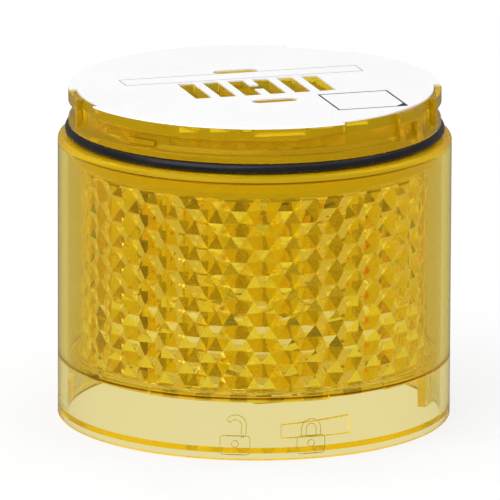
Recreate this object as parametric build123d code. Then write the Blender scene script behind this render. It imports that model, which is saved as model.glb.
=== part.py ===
"""Light module of a signal tower, 70 mm class, in millimetres.

The module is a core that plugs straight onto the module below and a clear outer sleeve that turns about it.
Turning the sleeve draws its three inner lugs under the lugs on the neck of the module below: a twist lock.
The origin is the middle of the sleeve's bottom rim, +Z is up and the front faces -Y.
Bearings are in degrees from the front (-Y), positive towards +X, so anticlockwise seen from above.
"""

import os
from math import cos, radians, sin

from build123d import *

# Sleeve: the outer lens with the skirt that goes over the neck of the module below.
BODY_RADIUS = 35.0
SLEEVE_WALL = 1.7
SLEEVE_BORE = BODY_RADIUS - SLEEVE_WALL
SHOULDER_TOP = 51.0
SHOULDER_THICK = 1.6
SHOULDER_ROUND = 0.9
RIM_CHAMFER = 0.35
MOUTH_RADIUS = 34.0
MOUTH_CHAMFER = 0.2
MOUTH_TOP = 1.2
MOUTH_TAPER_TOP = 2.1
LUG_HOOK = 1.05
LUG_BOTTOM = 3.7
LUG_TOP_LOW = 6.05
LUG_TOP_HIGH = 6.95
LOCK_TURN = 20.5
WIDE_LUG_ANGLE = 21.6
NARROW_LUG_ANGLE = 10.8
WIDE_LUG_BEARINGS = (19.1, 139.1)
NARROW_LUG_BEARING = -86.0

# Neck: what the next module plugs onto.
NECK_RADIUS = 32.0
NECK_BORE = 30.2
OPENING_RADIUS = 32.3
MALE_LUG_RADIUS = 33.1
PLATE_UNDERSIDE = 57.15
PLATE_TOP = 59.3
LABEL_THICK = 0.28
NECK_BOTTOM = 49.2
O_RING_SECTION = 2.0
O_RING_RADIUS = 32.7
O_RING_HEIGHT = 52.1
GLAND_RADIUS = O_RING_RADIUS - O_RING_SECTION / 2
COLLAR_BOTTOM = O_RING_HEIGHT + O_RING_SECTION / 2
COLLAR_TOP = 54.2
COLLAR_TAPER_TOP = 55.3
STEP_HEIGHT = 0.3

# Male lugs as (first bearing, last bearing). What lies between them lets the sleeve's lugs and key in.
MALE_LUGS = ((-59.6, 28.5), (50.5, 63.5), (74.5, 148.5), (170.5, 288.5))
ENTRY_RAMP_ANGLE = 15.0
ENTRY_RAMP_RISE = 0.95
STOP_WEBS = ((50.5, 53.5), (59.5, 63.5), (74.5, 77.5), (170.5, 173.5), (-73.5, -71.5))
DETENT = (-42.5, -32.5)
DETENT_BOTTOM = 54.9
DETENT_TOP = 55.8
DETENT_RADIUS = 32.7

# Contact field, turned about the axis against the front.
FIELD_ANGLE = 16.9
CONTACT_COUNT = 6
CONTACT_PITCH = 4.58
SLOT_WIDTH = 3.0
SLOT_LENGTH = 12.0
SLOT_MIDDLE = -1.0
KEY_SLOT_HEIGHT = 3.0
GUIDE_SLOT_LENGTH = 8.3
GUIDE_SLOT_WIDTH = 2.7
GUIDE_OFFSET = 12.0
GUIDE_CLEARANCE = 0.2
PLUG_TIP = 4.9

# Prism lens: hexagonal pyramids on the inside of a smooth cylinder.
LENS_RADIUS = 30.8
FACET_RADIUS = 29.3
FACET_DEPTH = 1.5
FACET_HEIGHT = 4.61
FACET_COLUMNS = 46
FACET_ROWS = 7
FACET_BOTTOM = 11.6
FACET_TOP = FACET_BOTTOM + (FACET_ROWS + 0.5) * FACET_HEIGHT
FACET_PHASE = 2.6
LENS_FLANGE_RADIUS = 32.7
LENS_FLANGE_BOTTOM = 47.8
SPIGOT_RADIUS = 30.1
SPIGOT_TOP = 50.2
PLAIN_BORE = 29.6

# Chamber floor.
FLOOR_BOTTOM = 10.2
FLOOR_TOP = 11.4
FLOOR_RADIUS = 32.7
LEDGE_RADIUS = 31.5
LEDGE_TOP = 12.2
STOP_WINDOW = (-33.5, 44.0)
STOP_WINDOW_RADIUS = 32.0
STOP_RIB_RADIUS = 32.4
KEY_RIB = (65.5, 73.1)
KEY_RIB_RADII = (31.3, 32.6)
KEY_RIB_TIP = 4.4

# Screw pillars between the neck and the floor.
PILLAR_OFFSET = 24.5
PILLAR_RADIUS = 2.4
PILLAR_BOTTOM = 12.6
BOSS_RADIUS = 3.0
SCREW_RADIUS = 1.05
SCREW_HEAD_RADIUS = 2.1
SCREW_TIP = 20.0
SCREW_GAP = 0.15

# Contact column: carrier, bus strips and springs.
STRIP_WIDTH = 2.1
STRIP_THICK = 0.6
STRIP_TIP = 3.9
STRIP_TOP = 50.0
STRIP_FRONT = SLOT_MIDDLE - STRIP_THICK / 2
CARRIER_WALL_FRONT = STRIP_FRONT + STRIP_THICK
CARRIER_WALL = 1.5
RIB_THICK = 0.8
RIB_DEPTH = 1.6
CARRIER_HALF_WIDTH = (CONTACT_COUNT * CONTACT_PITCH + RIB_THICK) / 2
TOP_DECK_BOTTOM = 48.4

# Light board: a round board under the deck, its lights shining down inside the prism lens.
BOARD_RADIUS = 28.9
BOARD_THICK = 1.0
BOARD_CLEARANCE = 0.2
LEDS_PER_SIDE = 4
LED_CIRCLE = 23.0
LED_LENGTH = 3.5
LED_WIDTH = 2.8
LED_THICK = 1.4
LED_WINDOW_RADIUS = 1.15


def ring(inner, outer, bottom, top):
    """Plain ring about the axis."""
    section = Circle(outer) - Circle(inner) if inner else Circle(outer)
    return Pos(0, 0, bottom) * extrude(section, top - bottom)


def sector(inner, outer, bottom, top, first, last):
    """Part of a ring between two bearings."""
    section = Pos((inner + outer) / 2, 0, (bottom + top) / 2) * Rot(90, 0, 0)
    face = section * Rectangle(outer - inner, top - bottom)
    return Rot(0, 0, first - 90) * revolve(face, Axis.Z, last - first)


def turned_profile(points):
    """Solid of revolution from (radius, height) points."""
    outline = Polyline(*[(radius, 0, height) for radius, height in points], close=True)
    return revolve(make_face(outline), Axis.Z)


def slab(width, depth, bottom, top, x=0.0, y=0.0):
    """Upright block in the contact field's own directions, before the field's turn."""
    return Pos(x, y, (bottom + top) / 2) * Box(width, depth, top - bottom)


def in_field(shape):
    """Turns what is laid out along the contact field into its place."""
    return Rot(0, 0, FIELD_ANGLE) * shape


def contact_places():
    """Offsets of the contacts along the field."""
    middle = (CONTACT_COUNT - 1) / 2
    return [(index - middle) * CONTACT_PITCH for index in range(CONTACT_COUNT)]


def contact_slots(bottom, top):
    """The six contact slots, with the coding slot that joins the middle two."""
    slots = [slab(SLOT_WIDTH, SLOT_LENGTH, bottom, top, x, SLOT_MIDDLE) for x in contact_places()]
    coding = slab(CONTACT_PITCH, KEY_SLOT_HEIGHT, bottom, top, 0, SLOT_MIDDLE)
    return slots + [coding]


def guide_slots(bottom, top, shrink=0.0):
    """The two round-ended guides in front of and behind the contacts."""
    length = GUIDE_SLOT_LENGTH - 2 * shrink
    width = GUIDE_SLOT_WIDTH - 2 * shrink
    section = SlotOverall(length, width)
    return [Pos(0, y, bottom) * extrude(section, top - bottom) for y in (-GUIDE_OFFSET, GUIDE_OFFSET)]


def sleeve_lug(bearing, angle):
    """Lug inside the skirt: flat below, its top rising towards the high bearing as a wedge."""
    inner = SLEEVE_BORE - LUG_HOOK
    ends = (bearing - angle / 2, bearing + angle / 2)
    block = sector(inner, SLEEVE_BORE + 0.2, LUG_BOTTOM, LUG_TOP_HIGH, *ends)
    half = SLEEVE_BORE * radians(angle / 2)
    rise = (LUG_TOP_HIGH - LUG_TOP_LOW) * angle / WIDE_LUG_ANGLE
    slope = rise / (2 * half)
    low = LUG_TOP_HIGH - rise - slope
    high = LUG_TOP_HIGH + slope
    outline = Polyline((-half - 1, 0, low), (half + 1, 0, high), (half + 1, 0, 12), (-half - 1, 0, 12),
                       close=True)
    wedge = Pos(0, -SLEEVE_BORE - 2, 0) * extrude(make_face(outline), 5, dir=(0, 1, 0))
    return block - Rot(0, 0, bearing) * wedge


def outer_lens():
    """Clear sleeve with its shoulder, skirt, twist-lock lugs and turning stop."""
    inner_shoulder = SHOULDER_TOP - SHOULDER_THICK
    profile = make_face(Polyline(
        (MOUTH_RADIUS + MOUTH_CHAMFER, 0, 0),
        (BODY_RADIUS - RIM_CHAMFER, 0, 0),
        (BODY_RADIUS, 0, RIM_CHAMFER),
        (BODY_RADIUS, 0, SHOULDER_TOP),
        (OPENING_RADIUS, 0, SHOULDER_TOP),
        (OPENING_RADIUS, 0, inner_shoulder),
        (SLEEVE_BORE, 0, inner_shoulder),
        (SLEEVE_BORE, 0, MOUTH_TAPER_TOP),
        (MOUTH_RADIUS, 0, MOUTH_TOP),
        (MOUTH_RADIUS, 0, MOUTH_CHAMFER),
        close=True))
    corner = profile.vertices().sort_by(Axis.Z)[-2:].sort_by(Axis.X)[-1]
    body = revolve(fillet(corner, SHOULDER_ROUND), Axis.Z)
    lugs = [sleeve_lug(bearing, WIDE_LUG_ANGLE) for bearing in WIDE_LUG_BEARINGS]
    lugs.append(sleeve_lug(NARROW_LUG_BEARING, NARROW_LUG_ANGLE))
    first, last = STOP_WINDOW
    rib = sector(STOP_RIB_RADIUS, SLEEVE_BORE + 0.2, FLOOR_BOTTOM + 0.1, FLOOR_TOP - 0.3,
                 first + 0.3, last - LOCK_TURN - 0.3)
    return body + lugs + rib


def entry_ramp(bearing):
    """Cutter that lifts the underside of a male lug towards its open end."""
    run = MALE_LUG_RADIUS * radians(ENTRY_RAMP_ANGLE)
    outline = Polyline((-run, 0, PLATE_UNDERSIDE), (0.6, 0, PLATE_UNDERSIDE + ENTRY_RAMP_RISE),
                       (0.6, 0, PLATE_UNDERSIDE - 1), (-run, 0, PLATE_UNDERSIDE - 1), close=True)
    wedge = Pos(0, -NECK_RADIUS - 3, 0) * extrude(make_face(outline), 3, dir=(0, 1, 0))
    return Rot(0, 0, bearing) * wedge


def neck_housing():
    """Top plate, neck with its seal gland and male lugs, contact pockets and screw pillars."""
    body = turned_profile((
        (0, PLATE_TOP), (0, PLATE_UNDERSIDE), (NECK_BORE, PLATE_UNDERSIDE), (NECK_BORE, NECK_BOTTOM),
        (NECK_RADIUS, NECK_BOTTOM), (NECK_RADIUS, SHOULDER_TOP), (GLAND_RADIUS, SHOULDER_TOP + 0.3),
        (GLAND_RADIUS, COLLAR_BOTTOM), (MALE_LUG_RADIUS, COLLAR_BOTTOM), (MALE_LUG_RADIUS, COLLAR_TOP - 0.7),
        (MALE_LUG_RADIUS - 0.1, COLLAR_TOP), (NECK_RADIUS, COLLAR_TAPER_TOP), (NECK_RADIUS, PLATE_TOP)))
    buried = NECK_RADIUS - 0.3
    lugs = [sector(buried, MALE_LUG_RADIUS, PLATE_UNDERSIDE, PLATE_TOP, *lug) for lug in MALE_LUGS]
    webs = [sector(buried, MALE_LUG_RADIUS, COLLAR_TOP - 0.1, PLATE_UNDERSIDE + 0.1, *web)
            for web in STOP_WEBS]
    step = sector(buried, MALE_LUG_RADIUS - 0.1, COLLAR_TOP - 0.2, COLLAR_TOP + STEP_HEIGHT, 8.0, 50.5)
    detent = sector(buried, DETENT_RADIUS, DETENT_BOTTOM, DETENT_TOP, *DETENT)
    body = body + lugs + webs + step + detent
    body = body - [entry_ramp(MALE_LUGS[index][1]) for index in (0, 2)]
    pocket_half = (CONTACT_COUNT * CONTACT_PITCH) / 2 + 0.6
    pockets = slab(2 * pocket_half, SLOT_LENGTH + 2, STRIP_TOP, PLATE_UNDERSIDE + 0.1, 0, SLOT_MIDDLE)
    length = PLATE_UNDERSIDE + 0.1 - PILLAR_BOTTOM
    depth = SCREW_TIP + 1 - PILLAR_BOTTOM
    feet = [Pos(x, 0, PILLAR_BOTTOM) for x in (-PILLAR_OFFSET, PILLAR_OFFSET)]
    pillars = [foot * extrude(Circle(PILLAR_RADIUS), length) for foot in feet]
    pilots = [foot * extrude(Circle(SCREW_RADIUS + 0.05), depth) for foot in feet]
    body = body + in_field(pockets) + [in_field(pillar) for pillar in pillars]
    openings = contact_slots(STRIP_TOP, PLATE_TOP) + guide_slots(PLATE_UNDERSIDE, PLATE_TOP)
    return body - [in_field(cut) for cut in openings + pilots]


def label_disc():
    """White data label on the top plate, with wings over the male lugs and windows for the slots."""
    top = PLATE_TOP + LABEL_THICK
    disc = ring(0, NECK_RADIUS - 0.3, PLATE_TOP, top)
    wings = [sector(NECK_RADIUS - 0.5, MALE_LUG_RADIUS, PLATE_TOP, top, first, last)
             for first, last in ((-59.6, 28.5), (93.5, 148.5), (170.5, 275.3))]
    cuts = contact_slots(PLATE_TOP - 0.1, top + 0.1) + guide_slots(PLATE_TOP - 0.1, top + 0.1)
    return disc + wings - [in_field(cut) for cut in cuts]


def o_ring():
    """Seal in the gland, above the sleeve's shoulder."""
    return Pos(0, 0, O_RING_HEIGHT) * Torus(O_RING_RADIUS, O_RING_SECTION / 2)


def lens_point(bearing, height, radius):
    """Point on a cylinder about the axis."""
    angle = radians(bearing)
    return (radius * sin(angle), -radius * cos(angle), height)


def facet_cavity():
    """Inside of the prism lens: a closed polyhedron whose wall is hexagonal pyramids pointing inwards.

    Columns of hexagons stand side by side, every other one half a hexagon higher. A column's centre line,
    its corners a third of a pitch to each side and its corners two thirds out give every triangle.
    """
    pitch = 360 / FACET_COLUMNS
    half = FACET_HEIGHT / 2
    apex_radius = FACET_RADIUS - FACET_DEPTH
    triangles = []
    bottom_edge = []
    top_edge = []
    for column in range(FACET_COLUMNS):
        centre = FACET_PHASE + column * pitch
        near = (centre - pitch / 3, centre + pitch / 3)
        far = (centre - 2 * pitch / 3, centre + 2 * pitch / 3)
        half_first = column % 2 == 0
        middles = [FACET_BOTTOM + (row + (0 if half_first else 0.5)) * FACET_HEIGHT
                   for row in range(FACET_ROWS + 1)]
        for middle in middles:
            apex = lens_point(centre, middle, apex_radius)
            corners = [(near[0], middle - half), (near[1], middle - half), (far[1], middle),
                       (near[1], middle + half), (near[0], middle + half), (far[0], middle)]
            for index, corner in enumerate(corners):
                following = corners[(index + 1) % 6]
                heights = (corner[1], following[1])
                if min(heights) < FACET_BOTTOM - 0.01 or max(heights) > FACET_TOP + 0.01:
                    continue
                first = lens_point(*corner, FACET_RADIUS)
                triangles.append((apex, first, lens_point(*following, FACET_RADIUS)))
        flat = [lens_point(near[0], 0, FACET_RADIUS), lens_point(near[1], 0, FACET_RADIUS)]
        point = [lens_point(centre, 0, apex_radius)]
        bottom_edge += point if half_first else flat
        top_edge += flat if half_first else point
    faces = [Face(Wire.make_polygon([Vector(*corner) for corner in triangle])) for triangle in triangles]
    for edge, height in ((bottom_edge, FACET_BOTTOM), (top_edge, FACET_TOP)):
        faces.append(Face(Wire.make_polygon([Vector(x, y, height) for x, y, z in edge])))
    return Solid(Shell(faces))


def prism_lens():
    """Inner lens: smooth outside, prisms inside, with the flange that holds the sleeve down."""
    body = turned_profile((
        (PLAIN_BORE, FLOOR_TOP), (LENS_RADIUS, FLOOR_TOP), (LENS_RADIUS, LENS_FLANGE_BOTTOM - 1.5),
        (LENS_FLANGE_RADIUS, LENS_FLANGE_BOTTOM), (LENS_FLANGE_RADIUS, NECK_BOTTOM),
        (SPIGOT_RADIUS, NECK_BOTTOM), (SPIGOT_RADIUS, SPIGOT_TOP), (PLAIN_BORE, SPIGOT_TOP),
        (PLAIN_BORE, FACET_TOP), (20, FACET_TOP),
        (20, FACET_BOTTOM), (PLAIN_BORE, FACET_BOTTOM)))
    return body - facet_cavity()


def floor_plate():
    """Chamber floor with the key rib, the two guides and the coding pin that enter the module below."""
    body = ring(0, FLOOR_RADIUS, FLOOR_BOTTOM, FLOOR_TOP)
    body = body + ring(LENS_RADIUS + 0.1, LEDGE_RADIUS, FLOOR_TOP - 0.1, LEDGE_TOP)
    first, last = STOP_WINDOW
    body = body - sector(STOP_WINDOW_RADIUS, FLOOR_RADIUS + 1, FLOOR_BOTTOM - 1, FLOOR_TOP + 1, first, last)
    key = sector(*KEY_RIB_RADII, KEY_RIB_TIP, FLOOR_BOTTOM + 0.1, *KEY_RIB)
    guides = guide_slots(PLUG_TIP, FLOOR_BOTTOM + 0.1, GUIDE_CLEARANCE)
    coding = slab(1.9, KEY_SLOT_HEIGHT - 2 * GUIDE_CLEARANCE, PLUG_TIP, FLOOR_BOTTOM + 0.1, 0, SLOT_MIDDLE)
    bosses = []
    bores = []
    boss_height = PILLAR_BOTTOM - FLOOR_TOP + 0.1
    for x in (-PILLAR_OFFSET, PILLAR_OFFSET):
        bosses.append(Pos(x, 0, FLOOR_TOP - 0.1) * extrude(Circle(BOSS_RADIUS), boss_height))
        bores.append(Pos(x, 0, FLOOR_BOTTOM - 1) * extrude(Circle(SCREW_RADIUS + SCREW_GAP), 5))
        bores.append(Pos(x, 0, FLOOR_BOTTOM - 1) * extrude(Circle(SCREW_HEAD_RADIUS + SCREW_GAP), 2.2))
    slits = [slab(STRIP_WIDTH + 0.1, STRIP_THICK + 0.1, FLOOR_BOTTOM - 1, FLOOR_TOP + 1, x, SLOT_MIDDLE)
             for x in contact_places()]
    body = body + key + [in_field(solid) for solid in guides + [coding] + bosses]
    return body - [in_field(cut) for cut in bores + slits]


def floor_screws():
    """Two pan-head screws that pull the floor against the neck's pillars."""
    screws = []
    for x in (-PILLAR_OFFSET, PILLAR_OFFSET):
        head = Pos(x, 0, FLOOR_BOTTOM + 0.1) * extrude(Circle(SCREW_HEAD_RADIUS), 0.9)
        shank = Pos(x, 0, FLOOR_TOP - 0.3) * extrude(Circle(SCREW_RADIUS), SCREW_TIP - FLOOR_TOP)
        cross = slab(2.2, 0.5, FLOOR_BOTTOM, FLOOR_BOTTOM + 0.6, x)
        cross += slab(0.5, 2.2, FLOOR_BOTTOM, FLOOR_BOTTOM + 0.6, x)
        screws.append(in_field(head + shank - cross))
    return Compound(children=screws)


def bus_carrier():
    """Comb that holds the six bus strips, with the deck below the contact pockets."""
    wall_middle = CARRIER_WALL_FRONT + CARRIER_WALL / 2
    body = slab(2 * CARRIER_HALF_WIDTH, CARRIER_WALL, FLOOR_TOP, TOP_DECK_BOTTOM + 0.1, 0, wall_middle)
    for index in range(CONTACT_COUNT + 1):
        x = (index - CONTACT_COUNT / 2) * CONTACT_PITCH
        body += slab(RIB_THICK, RIB_DEPTH + 0.1, FLOOR_TOP, TOP_DECK_BOTTOM + 0.1,
                     x, CARRIER_WALL_FRONT - RIB_DEPTH / 2 + 0.05)
    for x in (-CONTACT_PITCH * 2.5, CONTACT_PITCH * 2.5):
        body += slab(RIB_THICK, RIB_DEPTH + 0.1, FLOOR_TOP, TOP_DECK_BOTTOM + 0.1,
                     x, CARRIER_WALL_FRONT + CARRIER_WALL + RIB_DEPTH / 2 - 0.05)
    deck = slab(2 * CARRIER_HALF_WIDTH, SLOT_LENGTH + 2, TOP_DECK_BOTTOM, STRIP_TOP, 0, SLOT_MIDDLE)
    slits = [slab(STRIP_WIDTH, STRIP_THICK, TOP_DECK_BOTTOM - 1, STRIP_TOP + 1, x, SLOT_MIDDLE)
             for x in contact_places()]
    return in_field(body + deck - slits)


def bus_strip(x):
    """Contact blade below and bus bar above, one flat strip with a chamfered tip and a test dimple."""
    strip = slab(STRIP_WIDTH, STRIP_THICK, STRIP_TIP, STRIP_TOP, x, SLOT_MIDDLE)
    tip = strip.faces().sort_by(Axis.Z)[0].edges().filter_by(Axis.Y)
    strip = chamfer(tip, 0.5)
    hole = Pos(x, SLOT_MIDDLE, STRIP_TIP + 0.9) * Rot(90, 0, 0) * Cylinder(0.35, 2)
    return in_field(strip - hole)


def contact_spring(x):
    """Fork spring on top of a bus strip: two leaves that pinch and then flare."""
    thick = 0.25
    outer = [(-1.15, STRIP_TOP), (-1.15, 53.0), (-0.45, 55.6), (-0.95, 57.0)]
    inner = [(-0.95 + thick, 57.0), (-0.45 + thick, 55.6), (-1.15 + thick, 53.0),
             (-1.15 + thick, STRIP_TOP + 0.3)]
    leaf = outer + inner
    mirrored = [(-offset, height) for offset, height in reversed(leaf)]
    points = [(0, SLOT_MIDDLE + offset, height) for offset, height in leaf + mirrored]
    section = make_face(Polyline(*points, close=True))
    return in_field(Pos(x - 1.0, 0, 0) * extrude(section, 2.0, dir=(1, 0, 0)))


def led_board():
    """Round board under the deck, with a window for the carrier's comb and holes for the pillars."""
    bottom = TOP_DECK_BOTTOM - BOARD_THICK
    board = ring(0, BOARD_RADIUS, bottom, TOP_DECK_BOTTOM)
    comb_depth = CARRIER_WALL + 2 * RIB_DEPTH + 2 * BOARD_CLEARANCE
    comb_width = 2 * (CARRIER_HALF_WIDTH + BOARD_CLEARANCE)
    comb_middle = CARRIER_WALL_FRONT + CARRIER_WALL / 2
    window = slab(comb_width, comb_depth, bottom - 1, TOP_DECK_BOTTOM + 1, 0, comb_middle)
    holes = [Pos(x, 0, bottom - 1) * extrude(Circle(PILLAR_RADIUS + BOARD_CLEARANCE), BOARD_THICK + 2)
             for x in (-PILLAR_OFFSET, PILLAR_OFFSET)]
    return in_field(board - window - holes)


def led_group(turn):
    """Lights on one side of the board's underside, each a flat case with a round window."""
    bottom = TOP_DECK_BOTTOM - BOARD_THICK - LED_THICK
    pitch = 90 / LEDS_PER_SIDE
    lights = []
    for index in range(LEDS_PER_SIDE):
        bearing = turn + (index - (LEDS_PER_SIDE - 1) / 2) * pitch
        case = slab(LED_WIDTH, LED_LENGTH, bottom, bottom + LED_THICK, 0, -LED_CIRCLE)
        window = Pos(0, -LED_CIRCLE, bottom - 0.1) * extrude(Circle(LED_WINDOW_RADIUS), 0.4)
        lights.append(in_field(Rot(0, 0, bearing) * (case - window)))
    return Compound(children=lights)


os.makedirs("parts", exist_ok=True)
nodes = {
    "outer_lens": outer_lens(),
    "neck_housing": neck_housing(),
    "label_disc": label_disc(),
    "o_ring": o_ring(),
    "prism_lens": prism_lens(),
    "floor_plate": floor_plate(),
    "floor_screws": floor_screws(),
    "bus_carrier": bus_carrier(),
    "led_board": led_board(),
}
for number, place in enumerate(contact_places(), start=1):
    nodes[f"bus_strip_{number}"] = bus_strip(place)
    nodes[f"contact_spring_{number}"] = contact_spring(place)
for turn, side in enumerate(("front", "right", "back", "left")):
    nodes[f"leds_{side}"] = led_group(90 * turn)
for name, shape in nodes.items():
    export_step(shape, f"parts/{name}.step")
    print(name, round(shape.volume, 1))
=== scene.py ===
"""Looks of the signal tower light module, piece by piece as it is put together."""

import bmesh
import bpy
import numpy as np
from mathutils import Matrix, Vector


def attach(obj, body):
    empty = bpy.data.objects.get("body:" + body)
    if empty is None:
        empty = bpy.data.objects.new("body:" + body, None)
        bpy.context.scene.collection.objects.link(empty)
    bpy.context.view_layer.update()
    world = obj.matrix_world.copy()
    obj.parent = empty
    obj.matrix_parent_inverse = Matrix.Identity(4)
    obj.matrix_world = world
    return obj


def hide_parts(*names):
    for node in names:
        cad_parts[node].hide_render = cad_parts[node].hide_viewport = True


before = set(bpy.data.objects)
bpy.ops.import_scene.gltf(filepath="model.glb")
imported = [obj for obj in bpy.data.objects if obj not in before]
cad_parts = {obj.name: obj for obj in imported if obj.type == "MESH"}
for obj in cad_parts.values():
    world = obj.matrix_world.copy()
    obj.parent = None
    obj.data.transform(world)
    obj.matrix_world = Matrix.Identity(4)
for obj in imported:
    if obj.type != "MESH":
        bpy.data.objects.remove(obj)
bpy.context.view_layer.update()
MM = 0.001


# Outer lens: the clear amber sleeve, injection moulded in polycarbonate with a 1.7 mm wall. Its skirt carries
# three twist-lock lugs inside, and its shoulder goes under the seal.

def bearings(marks, step=1.5):
    """Bearings round the circle at an even step, with a close pair at each mark for a crisp edge."""
    even = np.arange(-180.0, 180.0, step)
    if not marks:
        return even
    pairs = np.concatenate([[mark - 0.06, mark + 0.06] for mark in marks])
    pairs = (pairs + 180.0) % 360.0 - 180.0
    near = np.abs(even[:, None] - pairs[None, :]).min(axis=1) < 0.3
    return np.sort(np.concatenate([even[~near], pairs]))


def inside(columns, first, last):
    """One where a column lies between two bearings, zero elsewhere; bearings wrap round."""
    return (((columns - first) % 360.0) < ((last - first) % 360.0)).astype(float)


def round_corner(centre, radius, start, end, steps=6):
    """Rows of a quarter round: centre plus radius times (cosine, sine) of an angle from start to end."""
    angles = np.radians(np.linspace(start, end, steps))
    return [(centre[0] + radius * np.cos(a), centre[1] + radius * np.sin(a)) for a in angles]


def polar_points(columns, rows):
    """Grid of points: each row gives radius and height, as numbers or one per bearing; x is radius times the
    sine of the bearing, and y is minus radius times its cosine."""
    angle = np.radians(columns)
    grid = []
    for radius, height in rows:
        radius = radius + np.zeros(len(columns))
        height = height + np.zeros(len(columns))
        grid.append(np.stack([radius * np.sin(angle), -radius * np.cos(angle), height], axis=1))
    return np.array(grid) * MM


def grid_quads(index, close):
    """Quads between neighbouring rows of a table of point numbers whose columns go round; close joins the
    last row to the first."""
    lower = index if close else index[:-1]
    upper = np.roll(index, -1, axis=0) if close else index[1:]
    quads = np.stack([lower, np.roll(lower, -1, axis=1), np.roll(upper, -1, axis=1), upper], axis=2)
    return quads.reshape(-1, 4)


def ring_mesh(name, columns, rows):
    """Closed skin over a polar grid: a closed profile carried round the axis."""
    points = polar_points(columns, rows)
    index = np.arange(len(rows) * len(columns)).reshape(len(rows), len(columns))
    return make_mesh(name, points.reshape(-1, 3), grid_quads(index, close=True))


def make_mesh(name, points, faces, edge_angle=28.0):
    """Mesh object of those points and faces, merged, turned outwards and smooth except at real edges."""
    mesh = bpy.data.meshes.new(name)
    mesh.from_pydata(points.tolist(), [], [list(face) for face in faces])
    tidy_mesh(mesh, edge_angle)
    piece = bpy.data.objects.new(name, mesh)
    bpy.context.scene.collection.objects.link(piece)
    return piece


def tidy_mesh(mesh, edge_angle=28.0):
    """Merges doubles, closes three-sided gaps, points the normals outwards and marks the sharp edges."""
    work = bmesh.new()
    work.from_mesh(mesh)
    bmesh.ops.remove_doubles(work, verts=work.verts, dist=2e-6)
    bmesh.ops.dissolve_degenerate(work, edges=work.edges, dist=1e-6)
    bmesh.ops.holes_fill(work, edges=work.edges, sides=3)
    bmesh.ops.recalc_face_normals(work, faces=work.faces)
    work.to_mesh(mesh)
    work.free()
    mesh.shade_smooth()
    mesh.set_sharp_from_angle(angle=np.radians(edge_angle))


def add(tree, kind, **values):
    """New shader node with its plain socket values; an underscore in a name stands for a space."""
    node = tree.nodes.new(kind)
    for name, value in values.items():
        node.inputs[name.replace("_", " ")].default_value = value
    return node


def surface_group():
    """Node group for a worked surface: broad patches blend two colours, fine grain varies the roughness and
    lifts the surface a little. Patch and Grain are noise scales per metre."""
    group = bpy.data.node_groups.new("worked_surface", "ShaderNodeTree")
    for name in ("Colour", "Second Colour"):
        group.interface.new_socket(name, in_out="INPUT", socket_type="NodeSocketColor")
    for name in ("Patch", "Grain", "Roughness", "Relief"):
        group.interface.new_socket(name, in_out="INPUT", socket_type="NodeSocketFloat")
    for name, kind in (("Colour", "Color"), ("Roughness", "Float"), ("Normal", "Vector")):
        group.interface.new_socket(name, in_out="OUTPUT", socket_type=f"NodeSocket{kind}")
    given = group.nodes.new("NodeGroupInput")
    result = group.nodes.new("NodeGroupOutput")
    place = group.nodes.new("ShaderNodeTexCoord")
    patches = add(group, "ShaderNodeTexNoise", Detail=2.0)
    grain = add(group, "ShaderNodeTexNoise", Detail=4.0)
    spread = add(group, "ShaderNodeMapRange", From_Min=0.35, From_Max=0.65)
    polish = add(group, "ShaderNodeMapRange", From_Min=0.3, From_Max=0.7, To_Min=0.7, To_Max=1.4)
    mix = group.nodes.new("ShaderNodeMix")
    mix.data_type = "RGBA"
    rough = group.nodes.new("ShaderNodeMath")
    rough.operation = "MULTIPLY"
    bump = add(group, "ShaderNodeBump", Distance=0.0001)
    link = group.links.new
    for noise, scale in ((patches, "Patch"), (grain, "Grain")):
        link(place.outputs["Object"], noise.inputs["Vector"])
        link(given.outputs[scale], noise.inputs["Scale"])
    link(patches.outputs["Fac"], spread.inputs["Value"])
    link(spread.outputs["Result"], mix.inputs["Factor"])
    link(given.outputs["Colour"], mix.inputs["A"])
    link(given.outputs["Second Colour"], mix.inputs["B"])
    link(grain.outputs["Fac"], polish.inputs["Value"])
    link(polish.outputs["Result"], rough.inputs[0])
    link(given.outputs["Roughness"], rough.inputs[1])
    link(grain.outputs["Fac"], bump.inputs["Height"])
    link(given.outputs["Relief"], bump.inputs["Strength"])
    link(mix.outputs["Result"], result.inputs["Colour"])
    link(rough.outputs[0], result.inputs["Roughness"])
    link(bump.outputs["Normal"], result.inputs["Normal"])
    return group


worked_surface = surface_group()


def finish_material(name, colour, second, patch, grain, roughness, relief):
    """Material whose Principled shader takes its colour, roughness and normal from the worked surface."""
    material = bpy.data.materials.new(name)
    material.use_nodes = True
    tree = material.node_tree
    shader = tree.nodes["Principled BSDF"]
    surface = tree.nodes.new("ShaderNodeGroup")
    surface.node_tree = worked_surface
    values = {"Colour": (*colour, 1), "Second Colour": (*second, 1), "Patch": patch, "Grain": grain,
              "Roughness": roughness, "Relief": relief}
    for socket, value in values.items():
        surface.inputs[socket].default_value = value
    tree.links.new(surface.outputs["Colour"], shader.inputs["Base Color"])
    tree.links.new(surface.outputs["Roughness"], shader.inputs["Roughness"])
    tree.links.new(surface.outputs["Normal"], shader.inputs["Normal"])
    return material, shader


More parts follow.
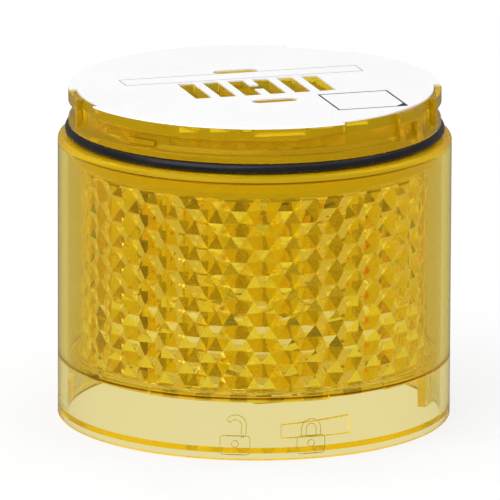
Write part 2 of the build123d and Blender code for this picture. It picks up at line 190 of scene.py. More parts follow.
def clear_amber(name, colour, second, per_mm, glint, clear=1.0, index=1.5, glow=0.0):
    """Dyed polycarbonate. The surface colour dims each crossing, per_mm is what a millimetre of depth takes
    from red, green and blue, glint tints the mirror image, and clear is the share that isn't clouded. The
    last argument gives a gold emission, painted light on faces the room's light reaches dimly; no part is a
    lamp.
    Its strength is given per material."""
    material, shader = finish_material(name, colour, second, 70.0, 900.0, 0.02, 0.015)
    shader.inputs["IOR"].default_value = index
    shader.inputs["Specular Tint"].default_value = (*glint, 1)
    shader.inputs["Transmission Weight"].default_value = clear
    shader.inputs["Emission Color"].default_value = (1.0, 0.77, 0.02, 1)
    shader.inputs["Emission Strength"].default_value = glow
    tree = material.node_tree
    depth = add(tree, "ShaderNodeVolumeAbsorption", Color=(*[1 - loss for loss in per_mm], 1), Density=1000.0)
    tree.links.new(depth.outputs[0], tree.nodes["Material Output"].inputs["Volume"])
    return material


def face_materials(piece, materials, choose):
    """Adds the materials; choose(radius, height, radial part of the normal) gives each face's number."""
    mesh = piece.data
    for material in materials:
        mesh.materials.append(material)
    centre = np.zeros(3 * len(mesh.polygons))
    normal = np.zeros(3 * len(mesh.polygons))
    mesh.polygons.foreach_get("center", centre)
    mesh.polygons.foreach_get("normal", normal)
    centre = centre.reshape(-1, 3) / MM
    normal = normal.reshape(-1, 3)
    radius = np.hypot(centre[:, 0], centre[:, 1]) + 1e-9
    radial = np.abs((centre[:, :2] * normal[:, :2]).sum(axis=1)) / radius
    chosen = choose(radius, centre[:, 2], radial)
    mesh.polygons.foreach_set("material_index", chosen.astype(np.int32))


WIDE_LUGS = ((8.3, 29.9), (128.3, 149.9))
NARROW_LUG = (-91.4, -80.6)
STOP_RIB = (-33.2, 23.2)
OUTSIDE = 34.97
BORE = 33.3


def sleeve_rows(columns):
    """Profile of the sleeve from the rim up the outside, over the shoulder and down the inside past the stop
    rib and the lugs. A lug's top rises with the bearing, and its masks are one only between its two ends."""
    wide = sum(inside(columns, *lug) for lug in WIDE_LUGS)
    narrow = inside(columns, *NARROW_LUG)
    lug = wide + narrow
    ramp = np.zeros(len(columns))
    for first, last in WIDE_LUGS + (NARROW_LUG,):
        ramp += inside(columns, first, last) * ((columns - first) % 360.0) / (last - first)
    lug_top = 6.95 - (0.9 * wide + 0.45 * narrow) * (1 - ramp) * lug
    rib = inside(columns, *STOP_RIB)
    rows = [(34.2, 0.0), (34.65, 0.0), (OUTSIDE, 0.35), (OUTSIDE, 11.1), (OUTSIDE, 30.0), (OUTSIDE, 50.0)]
    rows += [(OUTSIDE, 50.1)]
    rows += round_corner((OUTSIDE - 0.9, 50.1), 0.9, 0, 90)[1:]
    rows += [(32.42, 51.0), (32.3, 50.88), (32.3, 49.4), (BORE, 49.4), (BORE, 30.0)]
    rows += [(BORE, 11.12), (BORE - 0.9 * rib, 11.08), (BORE - 0.9 * rib, 10.32), (BORE, 10.28)]
    rows += [(BORE, lug_top + 0.04), (BORE - 1.05 * lug, lug_top), (BORE - 1.05 * lug, 3.74), (BORE, 3.7)]
    rows += [(BORE, 2.1), (34.0, 1.2), (34.0, 0.2)]
    return rows


sleeve_marks = [mark for pair in WIDE_LUGS + (NARROW_LUG, STOP_RIB) for mark in pair]
sleeve_columns = bearings(sleeve_marks)
outer_lens = ring_mesh("outer_lens_shell", sleeve_columns, sleeve_rows(sleeve_columns))
skirt_amber = clear_amber("skirt_amber", (0.81, 0.71, 0.34), (0.80, 0.70, 0.32), (0.0005, 0.005, 0.05),
                          glint=(1.0, 0.85, 0.2), index=1.45)
# The body above the floor's level is the same moulding as the skirt but tinted deeper: amber dye plus painted
# shade.
body_amber = clear_amber("body_amber", (0.76, 0.64, 0.27), (0.75, 0.63, 0.25), (0.01, 0.02, 0.16),
                         glint=(1.0, 0.85, 0.2), index=1.45)
# Edges and end faces take a deeper gold, half-clouded copy with a gold emission: painted light along the
# edges.
sleeve_edge = clear_amber("sleeve_edge", (0.92, 0.66, 0.05), (0.90, 0.64, 0.04), (0.0005, 0.005, 0.05),
                          glint=(1.0, 0.8, 0.1), clear=0.6, index=1.45, glow=0.3)
shoulder_amber = clear_amber("shoulder_amber", (0.74, 0.53, 0.01), (0.72, 0.51, 0.01), (0.0005, 0.005, 0.05),
                             glint=(1.0, 0.8, 0.1), clear=0.5, index=1.45)


def sleeve_zones(radius, height, radial):
    """Skirt 0 below the floor's level, body 1 above it, edges and end faces 2, shoulder 3."""
    body = (height > 11.05) & ((radius > 34) | (height > 11.12))
    return np.where(height > 50.15, 3, np.where(radial < 0.93, 2, body))


face_materials(outer_lens, [skirt_amber, body_amber, sleeve_edge, shoulder_amber], sleeve_zones)
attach(outer_lens, "sleeve")
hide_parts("outer_lens")


# Lock marks: an open and a closed padlock in thin raised lines on the front of the skirt. They are moulded in
# one with the sleeve, from lines cut into its mould, and turn with it.

def line_mesh(name, paths, width, low, high, place):
    """Ridge of square section along each closed outline. A corner's offset is the sum of its two edges'
    normals over one plus their dot product; place maps across, up and height to space."""
    points = []
    faces = []
    for path in paths:
        path = np.asarray(path, float)
        ahead = np.roll(path, -1, axis=0) - path
        ahead /= np.linalg.norm(ahead, axis=1)[:, None]
        side = np.stack([-ahead[:, 1], ahead[:, 0]], axis=1)
        before = np.roll(side, 1, axis=0)
        offset = (before + side) / (1 + (before * side).sum(axis=1))[:, None] * width / 2
        section = [(path - offset, low), (path + offset, low), (path + offset, high), (path - offset, high)]
        ring = np.stack([place(flat[:, 0], flat[:, 1], level) for flat, level in section], axis=1)
        first = sum(len(part) for part in points)
        points.append(ring.reshape(-1, 3))
        index = first + np.arange(4 * len(path)).reshape(-1, 4)
        faces += list(grid_quads(index, close=True))
    return make_mesh(name, np.concatenate(points) * MM, faces)


def on_skirt(across, up, radius):
    """Wraps a drawing round the skirt: across is arc length at the outside."""
    angle = across / OUTSIDE
    return np.stack([radius * np.sin(angle), -radius * np.cos(angle), up + 0 * across], axis=1)


def round_box(left, right, bottom, top, corner):
    """Rectangle with quarter-circle corners of five points each."""
    angle = np.radians(np.linspace(0, 90, 5))
    quarter = np.stack([np.cos(angle), np.sin(angle)], axis=1) * corner
    centres = [(right - corner, top - corner), (left + corner, top - corner),
               (left + corner, bottom + corner), (right - corner, bottom + corner)]
    turned = [quarter, quarter[:, ::-1] * (-1, 1), -quarter, quarter[:, ::-1] * (1, -1)]
    return np.concatenate([np.array(centre) + part for centre, part in zip(centres, turned)])


def arc(middle, radius, first, last, steps=14):
    """Points on a circle about the middle, from one angle to another in degrees."""
    angle = np.radians(np.linspace(first, last, steps))
    return np.stack([middle[0] + radius * np.cos(angle), middle[1] + radius * np.sin(angle)], axis=1)


def shackle(foot_left, foot_right, bottom, shoulder, thick):
    """Outline of a padlock's bow: up one leg, over the half circle and down, then back along the inside."""
    middle = ((foot_left + foot_right) / 2, shoulder)
    reach = (foot_right - foot_left) / 2
    outer = np.concatenate([[(foot_right, bottom)], arc(middle, reach, 0, 180), [(foot_left, bottom)]])
    inner = np.concatenate([[(foot_left + thick, bottom)], arc(middle, reach - thick, 180, 0),
                            [(foot_right - thick, bottom)]])
    return np.concatenate([outer, inner])


def open_shackle(pivot, thick):
    """The same bow swung up about its right leg: a hook whose free end curls to the left."""
    middle = (pivot[0] - 1.75, pivot[1] + 1.9)
    outer = np.concatenate([[pivot], arc(middle, 1.9, -20, 150)])
    inner = arc(middle, 1.9 - thick, 150, -20)
    return np.concatenate([outer, inner, [(pivot[0] - 0.9 * thick, pivot[1] - 0.25)]])


locked_at = np.radians(16.8) * OUTSIDE
open_at = np.radians(-5.4) * OUTSIDE
mark_paths = [
    round_box(locked_at - 2.55, locked_at + 2.55, 1.1, 4.3, 0.6),
    shackle(locked_at - 1.75, locked_at + 1.75, 4.3, 5.6, 0.85),
    arc((locked_at, 2.95), 0.62, 0, 345),
    round_box(open_at - 2.65, open_at + 2.65, 1.1, 4.5, 0.6),
    open_shackle((open_at + 1.9, 4.5), 0.85),
    arc((open_at, 3.05), 0.62, 0, 345),
]
marks = line_mesh("lock_marks", mark_paths, 0.13, OUTSIDE - 0.12, OUTSIDE + 0.025, on_skirt)
mark_amber = clear_amber("mark_amber", (0.72, 0.55, 0.12), (0.70, 0.52, 0.10), (0.001, 0.004, 0.02),
                         glint=(1.0, 0.8, 0.2), clear=0.4)
marks.data.materials.append(mark_amber)
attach(marks, "sleeve")


# Prism lens: the inner amber lens. Its outside is smooth, and its inside is moulded as hexagonal pyramids
# that spread the light. Its flange sits under the sleeve's shoulder.

FACETS = {"columns": 46, "rows": 7, "height": 4.61, "bottom": 11.6, "radius": 29.3, "depth": 1.5,
          "phase": 2.6}


def facet_triangles():
    """Triangles from each hexagon's raised middle to the points round it. The corners stand one or two thirds
    of a pitch from the middle, and every other column is half a hexagon higher. Triangles that would pass the
    lower or upper edge are left out."""
    pitch = 360.0 / FACETS["columns"]
    half = FACETS["height"] / 2
    third = pitch / 3
    column = np.arange(FACETS["columns"])
    row = np.arange(FACETS["rows"] + 1)
    column, row = [a.ravel() for a in np.meshgrid(column, row, indexing="ij")]
    middle = FACETS["bottom"] + (row + 0.5 * (column % 2)) * FACETS["height"]
    centre = FACETS["phase"] + column * pitch
    # Eight points round a hexagon: its six corners, and the middles of its two flats.
    across = np.array([-1, 0, 1, 2, 1, 0, -1, -2]) * third
    up = np.array([-1, -1, -1, 0, 1, 1, 1, 0]) * half
    corner = np.stack([centre[:, None] + across, middle[:, None] + up], axis=2)
    following = np.roll(corner, -1, axis=1)
    low = FACETS["bottom"] - 0.01
    high = FACETS["bottom"] + (FACETS["rows"] + 0.5) * FACETS["height"] + 0.01
    heights = np.stack([corner[..., 1], following[..., 1]])
    keep = (heights.min(axis=0) > low) & (heights.max(axis=0) < high)
    apex = np.stack([np.broadcast_to(line[:, None], keep.shape) for line in (centre, middle)], axis=2)
    flat = np.stack([apex[keep], corner[keep], following[keep]], axis=1)
    radius = np.array([FACETS["radius"] - FACETS["depth"], FACETS["radius"], FACETS["radius"]])
    # The middle of a flat stays on the straight edge between its corners.
    angle = np.radians(flat[..., 0])
    on_edge = np.isclose(flat[..., 0], flat[:, :1, 0])
    reach = np.where(on_edge & (np.arange(3) > 0), FACETS["radius"] * np.cos(np.radians(third)), radius)
    return np.stack([reach * np.sin(angle), -reach * np.cos(angle), flat[..., 1]], axis=2) * MM


def prism_lens_mesh():
    """Smooth skin as a polar grid whose ends meet the facets, joined to the facet triangles."""
    top = FACETS["bottom"] + (FACETS["rows"] + 0.5) * FACETS["height"]
    third = 120.0 / FACETS["columns"]
    columns = FACETS["phase"] + np.arange(3 * FACETS["columns"]) * third
    which = np.arange(3 * FACETS["columns"])
    odd = ((which + 1) // 3) % 2 == 1
    centre = which % 3 == 0
    edge, flat = FACETS["radius"], FACETS["radius"] * np.cos(np.radians(third))
    tip = FACETS["radius"] - FACETS["depth"]
    bottom_edge = np.where(odd, np.where(centre, flat, edge), np.where(centre, tip, edge))
    top_edge = np.where(odd, np.where(centre, tip, edge), np.where(centre, flat, edge))
    rows = [(bottom_edge, FACETS["bottom"]), (29.6, 11.5), (29.6, 11.46), (29.62, 11.44), (30.72, 11.44)]
    rows += [(30.8, 11.52), (30.8, 20.0), (30.8, 30.0), (30.8, 40.0), (30.8, 45.8)]
    rows += [(31.0, 46.5), (32.6, 47.72), (32.7, 47.88), (32.7, 49.06), (32.6, 49.16)]
    rows += [(30.1, 49.16), (30.1, 50.15), (30.05, 50.2), (29.65, 50.2), (29.6, 50.15)]
    rows += [(29.6, top + 0.1), (top_edge, top)]
    skin = polar_points(columns, rows).reshape(-1, 3)
    index = np.arange(len(skin)).reshape(len(rows), len(columns))
    triangles = facet_triangles()
    facet_faces = len(skin) + np.arange(3 * len(triangles)).reshape(-1, 3)
    points = np.concatenate([skin, triangles.reshape(-1, 3)])
    faces = list(grid_quads(index, close=False)) + list(facet_faces)
    return make_mesh("prism_lens_shell", points, faces, edge_angle=8.0)


prism_lens = prism_lens_mesh()
lens_amber = clear_amber("lens_amber", (1.0, 0.995, 0.95), (1.0, 0.99, 0.92), (0.0, 0.001, 0.01),
                         glint=(1.0, 0.9, 0.4))
# The facets carry the lens's yellow dye and a faint gold emission; the emission is painted light.
facet_amber = clear_amber("facet_amber", (1.0, 0.985, 0.10), (1.0, 0.975, 0.07), (0.0, 0.001, 0.01),
                          glint=(1.0, 0.9, 0.4), glow=0.055)
# The flange's outside is clouded gold with a gold emission: painted light that lifts it out of the shoulder's
# shade.
flange_amber = clear_amber("flange_amber", (0.99, 0.78, 0.01), (0.98, 0.76, 0.01), (0.0, 0.0, 0.0),
                           glint=(1.0, 0.8, 0.1), clear=0.0, glow=0.24)


def lens_zones(radius, height, radial):
    """Smooth skin 0, facets 1 and the flange's outside 2."""
    return np.where((height > 46.4) & (radius > 30.9), 2, (radius < 29.5) & (height > FACETS["bottom"]))


face_materials(prism_lens, [lens_amber, facet_amber, flange_amber], lens_zones)
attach(prism_lens, "core")
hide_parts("prism_lens")


# Neck housing: amber top plate and neck in one moulding of dyed polycarbonate, with the seal gland, the male
# lugs, the contact wells and two pillars for the screws.

MALE_LUGS = ((-59.6, 28.5), (50.5, 63.5), (74.5, 148.5), (170.5, 288.5))
WEBS = ((50.5, 53.5), (59.5, 63.5), (74.5, 77.5), (170.5, 173.5), (286.5, 288.5))
DETENT = (-42.5, -32.5)
UPPER_STEP = (8.0, 50.5)
LUG_RAMP = 15.0
NECK = 32.0
PLATE_LOW = 57.15
PLATE_TOP = 59.3
FIELD = np.radians(16.9)
CONTACT_PITCH = 4.58
CONTACT_MIDDLE = -1.0
GUIDE_MIDDLE = 12.0
SCREW_PLACE = 24.5


def neck_rows(columns):
    """Profile of the neck from its foot up the outside, over the top and back down the inside."""
    lug = sum(inside(columns, *pair) for pair in MALE_LUGS)
    web = sum(inside(columns, *pair) for pair in WEBS)
    detent = inside(columns, *DETENT)
    step = inside(columns, *UPPER_STEP) * (1 - web)
    ramp = np.zeros(len(columns))
    for end in (28.5, 148.5):
        start = end - LUG_RAMP
        ramp += inside(columns, start, end) * ((columns - start) % 360.0) / LUG_RAMP
    under = PLATE_LOW + 0.95 * ramp
    base = NECK + 1.1 * web
    rows = [(30.2, 49.2), (NECK, 49.2), (NECK, 51.0), (31.7, 51.3), (31.7, 53.06), (31.75, 53.1)]
    rows += [(33.05, 53.1), (33.1, 53.15), (33.1, 53.5), (33.05 + 0.05 * web, 53.9), (33.0 + 0.1 * web, 54.2)]
    rows += [(32.97 + 0.13 * web, 54.24), (32.55 + 0.42 * step + 0.55 * web, 54.5)]
    rows += [(32.5 + 0.60 * web, 54.53)]
    rows += [(np.maximum(32.28, base), 54.86), (np.maximum(32.28 + 0.42 * detent, base), 54.9)]
    rows += [(np.maximum(NECK + 0.7 * detent, base), 55.3), (np.maximum(NECK + 0.7 * detent, base), 55.8)]
    rows += [(base, 55.84), (base, 56.5), (base, under - 0.03), (np.maximum(NECK + 1.02 * lug, base), under)]
    rows += [(np.maximum(NECK + 1.1 * lug, base), under + 0.08)]
    rows += [(NECK + 1.1 * lug, 59.2), (31.92 + 1.1 * lug, PLATE_TOP)]
    rows += [(31.0, PLATE_TOP), (15.0, PLATE_TOP), (0.0, PLATE_TOP)]
    rows += [(0.0, PLATE_LOW), (15.0, PLATE_LOW), (30.2, PLATE_LOW)]
    return rows


def prism_block(name, outlines, bottom, top):
    """Upright prisms over closed outlines drawn in the contact field's directions, then turned into place."""
    points = []
    faces = []
    for outline in outlines:
        flat = np.array(outline, float)
        turned = np.stack([flat[:, 0] * np.cos(FIELD) - flat[:, 1] * np.sin(FIELD),
                           flat[:, 0] * np.sin(FIELD) + flat[:, 1] * np.cos(FIELD)], axis=1)
        first = sum(len(p) for p in points)
        count = len(flat)
        points.append(np.column_stack([turned, np.full(count, bottom)]))
        points.append(np.column_stack([turned, np.full(count, top)]))
        low = first + np.arange(count)
        faces.append(low[::-1])
        faces.append(low + count)
        sides = np.stack([low, np.roll(low, -1), np.roll(low, -1) + count, low + count], axis=1)
        faces += list(sides)
    return make_mesh(name, np.concatenate(points) * MM, faces)


def box_outline(middle_x, middle_y, width, depth):
    """Corners of a rectangle, anticlockwise."""
    x = np.array([-0.5, 0.5, 0.5, -0.5]) * width + middle_x
    y = np.array([-0.5, -0.5, 0.5, 0.5]) * depth + middle_y
    return np.stack([x, y], axis=1)


def round_outline(middle_x, middle_y, length, width, steps=16):
    """Round-ended slot: two half circles, their centres apart by the length less the width."""
    angle = np.linspace(-np.pi / 2, np.pi / 2, steps)
    reach = (length - width) / 2
    right = np.stack([reach + width / 2 * np.cos(angle), width / 2 * np.sin(angle)], axis=1)
    return np.concatenate([right, -right]) + (middle_x, middle_y)


def contact_outlines():
    """Four plain contact slots and the middle two, joined by their coding slot, then the two guide slots."""
    plain_steps = (-2.5, -1.5, 1.5, 2.5)
    plain_slots = [box_outline(step * CONTACT_PITCH, CONTACT_MIDDLE, 3.0, 12.0) for step in plain_steps]
    far, near, low, high = CONTACT_PITCH / 2 + 1.5, CONTACT_PITCH / 2 - 1.5, -2.5, 0.5
    joined = [(-far, -7), (-near, -7), (-near, low), (near, low), (near, -7), (far, -7),
              (far, 5), (near, 5), (near, high), (-near, high), (-near, 5), (-far, 5)]
    guides = [round_outline(0, side * GUIDE_MIDDLE, 8.3, 2.7) for side in (-1, 1)]
    return plain_slots + [np.array(joined)], guides


def screw_discs(width, longer=0.001):
    """Circles at the two screws, drawn as slots that are a hair longer than wide."""
    return [round_outline(side * SCREW_PLACE, 0, width + longer, width, 24) for side in (-1, 1)]


def carve(piece, extra=None, cut=None):
    """Joins the extra shape to the piece, cuts the other away, and keeps the result as the piece's mesh."""
    for other, operation in ((extra, "UNION"), (cut, "DIFFERENCE")):
        if other:
            modifier = piece.modifiers.new(operation.lower(), "BOOLEAN")
            modifier.operation = operation
            modifier.solver = "EXACT"
            modifier.object = other
    solid = piece.evaluated_get(bpy.context.evaluated_depsgraph_get())
    mesh = bpy.data.meshes.new_from_object(solid)
    piece.modifiers.clear()
    piece.data = mesh
    mesh.shade_smooth()
    mesh.set_sharp_from_angle(angle=np.radians(28))
    for other in (extra, cut):
        if other:
            bpy.data.objects.remove(other)


neck_marks = [mark for pair in MALE_LUGS + WEBS + (DETENT, UPPER_STEP) for mark in pair]
neck_columns = bearings(sorted(set(round((m + 180) % 360 - 180, 3) for m in neck_marks)))
neck = ring_mesh("neck_shell", neck_columns, neck_rows(neck_columns))
slots, guides = contact_outlines()
wells = prism_block("wells", [box_outline(0, CONTACT_MIDDLE, 28.68, 14.0)], 50.04, 57.5)
pillars = prism_block("pillars", screw_discs(4.8, 0.0001), 12.64, 57.5)
cut_slots = prism_block("cut_slots", slots, 49.0, 60.0)
cut_guides = prism_block("cut_guides", guides, 56.0, 60.0)
carve(neck, extra=wells)
carve(neck, extra=pillars)
carve(neck, cut=cut_slots)
carve(neck, cut=cut_guides)
neck_amber = clear_amber("neck_amber", (0.92, 0.61, 0.01), (0.90, 0.59, 0.01), (0.0, 0.0, 0.0),
                         glint=(1.0, 0.8, 0.1), clear=0.72)
# Wells, pillars and the plate's underside take a lighter gold copy of the neck's amber with a faint gold
# emission: painted light in the recesses, where shade falls.
well_amber = clear_amber("well_amber", (1.0, 0.80, 0.08), (1.0, 0.79, 0.06), (0.0, 0.0, 0.0),
                         glint=(1.0, 0.9, 0.3), clear=0.75, glow=0.03)


def neck_zones(radius, height, radial):
    """Neck and top 0, and everything inside 1: wells, pillars and the underside of the plate."""
    return (radius < 29.9) & (height < 59.28)


face_materials(neck, [neck_amber, well_amber], neck_zones)
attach(neck, "core")
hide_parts("neck_housing")


# Floor plate: amber base of the core, moulded with the key rib, the guides and the coding pin. Two screws
# hold it to the housing's pillars, and its ledge centres the prism lens.

STOP_WINDOW = (-33.5, 44.0)
KEY_RIB = (65.5, 73.1)
FLOOR_LOW = 10.2


def floor_rows(columns):
    """Profile of the plate from the middle of its underside out past the key rib to the rim, and back over
    the ledge round the lens; the rim steps in along the stop window."""
    key = inside(columns, *KEY_RIB)
    rim = 32.7 - 0.7 * inside(columns, *STOP_WINDOW)
    rows = [(0.0, FLOOR_LOW), (15.0, FLOOR_LOW), (31.3, FLOOR_LOW)]
    rows += [(31.31, FLOOR_LOW - 5.72 * key), (31.4, FLOOR_LOW - 5.8 * key)]
    rows += [(31.4 + 1.1 * key, FLOOR_LOW - 5.8 * key), (31.4 + 1.2 * key, FLOOR_LOW - 5.7 * key)]
    rows += [(31.4 + 1.2 * key, FLOOR_LOW), (rim - 0.1, FLOOR_LOW)]
    rows += [(rim, 10.3), (rim, 11.3), (rim - 0.1, 11.4)]
    rows += [(31.55, 11.4), (31.5, 11.45), (31.5, 12.12), (31.42, 12.2)]
    rows += [(30.98, 12.2), (30.9, 12.12), (30.9, 11.4), (15.0, 11.38), (0.0, 11.38)]
    return rows


plate_columns = bearings([*STOP_WINDOW, *KEY_RIB])
plate = ring_mesh("floor_shell", plate_columns, floor_rows(plate_columns))
guide_feet = [round_outline(0, side * GUIDE_MIDDLE, 7.9, 2.3) for side in (-1, 1)]
coding_pin = [box_outline(0, CONTACT_MIDDLE, 1.9, 2.6)]
slits = [box_outline(step * CONTACT_PITCH, CONTACT_MIDDLE, 2.2, 0.7) for step in np.arange(-2.5, 3)]
carve(plate, extra=prism_block("guides", guide_feet + coding_pin, 4.9, 11.0))
carve(plate, extra=prism_block("bosses", screw_discs(6.0), 11.0, 12.6))
carve(plate, cut=prism_block("screw_wells", screw_discs(4.5), 9.0, 11.4))
carve(plate, cut=prism_block("screw_bores", screw_discs(2.4), 11.0, 13.0))
carve(plate, cut=prism_block("slits", slits, 9, 12))
base_amber = clear_amber("base_amber", (1.0, 0.98, 0.85), (1.0, 0.97, 0.80), (0.0, 0.001, 0.02),
                         glint=(1.0, 0.9, 0.3))
# The rim's lower edge and the key rib's foot take a deeper gold, half-clouded copy with a gold emission:
# painted light along these edges.
base_edge = clear_amber("base_edge", (1.0, 0.82, 0.05), (1.0, 0.80, 0.04), (0.0, 0.002, 0.03),
                        glint=(1.0, 0.8, 0.1), clear=0.6, glow=0.2)


def plate_zones(radius, height, radial):
    """Plate 0, and the lower edge of its rim with the key rib's foot 1."""
    return (radius > 31.25) & (height < 10.27) & (radial < 0.9)


face_materials(plate, [base_amber, base_edge], plate_zones)
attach(plate, "core")
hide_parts("floor_plate")


# Seal: moulded rubber ring of round section, stretched over the neck into its gland. It keeps water out where
# the next module's rim comes down over the neck.

def torus_rows(radius, height, section, steps=28):
    """Circle of the ring's section: radius plus section times cosine, height plus section times sine."""
    angle = np.linspace(0, 2 * np.pi, steps, endpoint=False)
    return [(radius + section * np.cos(a), height + section * np.sin(a)) for a in angle]


seal = ring_mesh("seal_ring", bearings([]), torus_rows(32.7, 52.1, 1.0))
rubber, rubber_shader = finish_material("seal_rubber", (0.006, 0.006, 0.008), (0.011, 0.011, 0.013),
                                        160.0, 300.0, 0.26, 0.02)
rubber_shader.inputs["Specular IOR Level"].default_value = 0.35
seal.data.materials.append(rubber)
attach(seal, "core")
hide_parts("o_ring")


# Label: white printed film stuck to the top plate, die-cut round the contact and guide slots. It carries two
# plain boxes and a filled corner.

LABEL_WINGS = ((-59.6, 28.5), (93.5, 148.5), (170.5, 275.3))
LABEL_FOOT = 59.29
LABEL_FACE = 59.56


def label_rows(columns):
    """Thin disc with wings over the male lugs; its foot is let into the plate by a hundredth."""
    edge = 31.7 + 1.35 * sum(inside(columns, *wing) for wing in LABEL_WINGS)
    return [(0.0, LABEL_FOOT), (15.0, LABEL_FOOT), (edge, LABEL_FOOT),
            (edge, LABEL_FACE), (15.0, LABEL_FACE), (0.0, LABEL_FACE)]


label_columns = bearings([mark for wing in LABEL_WINGS for mark in wing])
label = ring_mesh("data_label", label_columns, label_rows(label_columns))
carve(label, cut=prism_block("label_slots", slots + guides, 58.0, 61.0))
label_film, label_shader = finish_material("label_film", (0.90, 0.90, 0.90), (0.88, 0.88, 0.885),
                                           50.0, 1800.0, 0.42, 0.05)
label_shader.inputs["Specular IOR Level"].default_value = 0.25
label.data.materials.append(label_film)
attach(label, "core")
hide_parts("label_disc")


def on_label(across, up, height):
    """Lays a drawing on the label, turned with the contact field."""
    return np.stack([across * np.cos(FIELD) - up * np.sin(FIELD), across * np.sin(FIELD) + up * np.cos(FIELD),
                     height + 0 * across], axis=1)


ink_low, ink_high = 59.55, 59.58
type_box = line_mesh("type_box", [box_outline(0, 8.5, 43.9, 4.6)], 0.14, ink_low, ink_high, on_label)
date_box = line_mesh("date_box", [box_outline(15, -16.1, 12.5, 12.3)], 0.34, ink_low, ink_high, on_label)
corner_mark = prism_block("corner_mark", [[(21.2, -22.2), (21.2, -20.2), (19.2, -22.2)]], ink_low, ink_high)
grey_ink = finish_material("grey_ink", (0.22, 0.22, 0.23), (0.30, 0.30, 0.31), 400.0, 2500.0, 0.5, 0.02)[0]
black_ink = finish_material("black_ink", (0.02, 0.02, 0.022), (0.035, 0.035, 0.037),
                            400.0, 2500.0, 0.5, 0.02)[0]
for print_piece, ink in ((type_box, grey_ink), (date_box, black_ink), (corner_mark, black_ink)):
    print_piece.data.materials.append(ink)
    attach(print_piece, "core")


# Contacts: six stamped brass strips with a blade below, and a fork spring on top of each, all tin-plated.
# The blades of one module plug into the springs of the next.

def dress(start, material):
    """Gives the material to every node of the frame whose name begins so."""
    for name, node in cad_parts.items():
        if name.startswith(start):
            node.data.materials.clear()
            node.data.materials.append(material)


tin_plate, tin_shader = finish_material("tin_plate", (0.74, 0.70, 0.60), (0.66, 0.61, 0.50),
                                        180.0, 2200.0, 0.28, 0.08)
tin_shader.inputs["Metallic"].default_value = 1.0
dress("bus_strip", tin_plate)
dress("contact_spring", tin_plate)


# Floor screws: two zinc-plated steel screws with pan heads. They are driven from below, and pull the floor
# against the housing's pillars.

zinc_plate, zinc_shader = finish_material("zinc_plate", (0.62, 0.63, 0.65), (0.52, 0.53, 0.56),
                                          260.0, 2600.0, 0.32, 0.1)
zinc_shader.inputs["Metallic"].default_value = 1.0
dress("floor_screws", zinc_plate)


# Bus carrier: clear moulded comb down the middle of the core. The strips are pressed into its slots, so that
# it keeps them apart.

carrier_amber = clear_amber("carrier_amber", (1.0, 0.96, 0.66), (1.0, 0.95, 0.6), (0.001, 0.01, 0.08),
                            glint=(1.0, 0.9, 0.4))
dress("bus_carrier", carrier_amber)


# Light board: round circuit board just under the contact wells, with white solder mask. It is seen only
# through the prisms and from above through the slots.

solder_mask = finish_material("solder_mask", (0.82, 0.82, 0.78), (0.76, 0.76, 0.72),
                              220.0, 3000.0, 0.35, 0.06)[0]
dress("led_board", solder_mask)


# Lights: sixteen in moulded resin cases, soldered to the underside of the board in four groups, one to each
# side of the module.

led_resin = finish_material("led_resin", (0.88, 0.80, 0.42), (0.80, 0.66, 0.22), 500.0, 3500.0, 0.3, 0.05)[0]
dress("leds_", led_resin)


# Stage: a plain white floor and an even white room. The camera sees the floor mostly as white light, with a
# little of its own shading for the shadow, and clear parts show it white. Mirror images show the room dimmer,
# as black cloth round a product table would, with a soft box overhead.

def light_paths(tree):
    """Light Path node, and a node that is one where the ray is a mirror image."""
    path = tree.nodes.new("ShaderNodeLightPath")
    mirror = tree.nodes.new("ShaderNodeMath")
    mirror.operation = "MULTIPLY"
    tree.links.new(path.outputs["Is Glossy Ray"], mirror.inputs[0])
    tree.links.new(path.outputs["Is Reflection Ray"], mirror.inputs[1])
    return path, mirror


MIRROR_ROOM = 0.2
FLOOR_HALF = 6
WHITE_SHARE = 0.7
floor_mesh = bpy.data.meshes.new("floor")
floor_corners = [(FLOOR_HALF * x, FLOOR_HALF * y, 0) for x, y in ((-1, -1), (1, -1), (1, 1), (-1, 1))]
floor_mesh.from_pydata(floor_corners, [], [(0, 1, 2, 3)])
floor = bpy.data.objects.new("floor", floor_mesh)
bpy.context.scene.collection.objects.link(floor)
paper = finish_material("paper_floor", (0.95, 0.95, 0.95), (0.94, 0.94, 0.94), 3.0, 40.0, 0.8, 0.0)[0]
tree = paper.node_tree
white = add(tree, "ShaderNodeEmission", Color=(1, 1, 1, 1), Strength=1.0)
dim = add(tree, "ShaderNodeEmission", Color=(1, 1, 1, 1), Strength=MIRROR_ROOM)
path, mirror = light_paths(tree)
seen = add(tree, "ShaderNodeMath")
seen.operation = "MULTIPLY"
seen.inputs[1].default_value = WHITE_SHARE
shown = add(tree, "ShaderNodeMath")
shown.operation = "MAXIMUM"
plain_mix = tree.nodes.new("ShaderNodeMixShader")
mirror_mix = tree.nodes.new("ShaderNodeMixShader")
tree.links.new(path.outputs["Is Camera Ray"], seen.inputs[0])
tree.links.new(seen.outputs[0], shown.inputs[0])
tree.links.new(path.outputs["Is Transmission Ray"], shown.inputs[1])
tree.links.new(shown.outputs[0], plain_mix.inputs[0])
tree.links.new(tree.nodes["Principled BSDF"].outputs[0], plain_mix.inputs[1])
tree.links.new(white.outputs[0], plain_mix.inputs[2])
tree.links.new(mirror.outputs[0], mirror_mix.inputs[0])
tree.links.new(plain_mix.outputs[0], mirror_mix.inputs[1])
tree.links.new(dim.outputs[0], mirror_mix.inputs[2])
tree.links.new(mirror_mix.outputs[0], tree.nodes["Material Output"].inputs["Surface"])
floor_mesh.materials.append(paper)

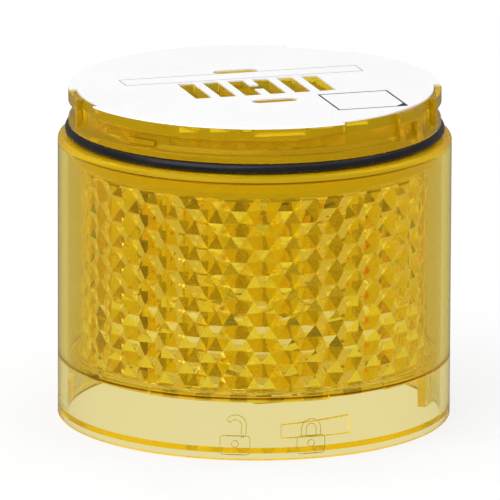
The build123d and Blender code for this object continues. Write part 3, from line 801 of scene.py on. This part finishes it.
world = bpy.data.worlds.new("studio")
bpy.context.scene.world = world
world.use_nodes = True
tree = world.node_tree
room = tree.nodes["Background"]
room.inputs["Color"].default_value = (1, 1, 1, 1)
dim_room = add(tree, "ShaderNodeBackground", Color=(1, 1, 1, 1))
mirror = light_paths(tree)[1]
sky = tree.nodes.new("ShaderNodeTexCoord")
split = tree.nodes.new("ShaderNodeSeparateXYZ")
soft_box = add(tree, "ShaderNodeMapRange", From_Min=0.55, From_Max=0.8, To_Min=MIRROR_ROOM, To_Max=0.9)
tree.links.new(sky.outputs["Generated"], split.inputs[0])
tree.links.new(split.outputs["Z"], soft_box.inputs["Value"])
tree.links.new(soft_box.outputs["Result"], dim_room.inputs["Strength"])
room_mix = tree.nodes.new("ShaderNodeMixShader")
tree.links.new(mirror.outputs[0], room_mix.inputs[0])
tree.links.new(room.outputs[0], room_mix.inputs[1])
tree.links.new(dim_room.outputs[0], room_mix.inputs[2])
tree.links.new(room_mix.outputs[0], tree.nodes["World Output"].inputs["Surface"])


KEY_PLACE = Vector((-0.6, -0.7, 0.8))
KEY_SIDE = 1.2
KEY_POWER = 6
key_data = bpy.data.lights.new("key", "AREA")
key_data.shape = "RECTANGLE"
key_data.size = KEY_SIDE
key_data.size_y = KEY_SIDE
key_data.energy = KEY_POWER
key = bpy.data.objects.new("key", key_data)
key.location = KEY_PLACE
key.rotation_euler = (Vector((0, 0, 0.03)) - KEY_PLACE).to_track_quat("-Z", "Y").to_euler()
bpy.context.scene.collection.objects.link(key)

FOCAL_LENGTH = 798.3
SIDE_SHIFT = -0.00866
CAMERA_DISTANCE = 1.9727
ELEVATION = np.radians(13.75)
ROLL = np.radians(0.22)
AIM = Vector((0, 0, 0.02958))
CLEAR_BOUNCES = 48
camera_data = bpy.data.cameras.new("camera")
camera_data.sensor_width = 36
camera_data.lens = FOCAL_LENGTH
camera_data.shift_x = SIDE_SHIFT
camera_data.clip_end = 20
camera = bpy.data.objects.new("camera", camera_data)
camera.location = AIM + CAMERA_DISTANCE * Vector((0, -np.cos(ELEVATION), np.sin(ELEVATION)))
look = (AIM - camera.location).to_track_quat("-Z", "Y").to_matrix().to_4x4()
camera.matrix_world = Matrix.Translation(camera.location) @ look @ Matrix.Rotation(ROLL, 4, "Z")
bpy.context.scene.collection.objects.link(camera)
bpy.context.scene.camera = camera
bpy.context.scene.view_settings.view_transform = "Standard"
bpy.context.scene.cycles.max_bounces = CLEAR_BOUNCES
bpy.context.scene.cycles.glossy_bounces = CLEAR_BOUNCES
bpy.context.scene.cycles.transmission_bounces = CLEAR_BOUNCES
bpy.context.scene.cycles.diffuse_bounces = 8
bpy.context.scene.cycles.transparent_max_bounces = 32
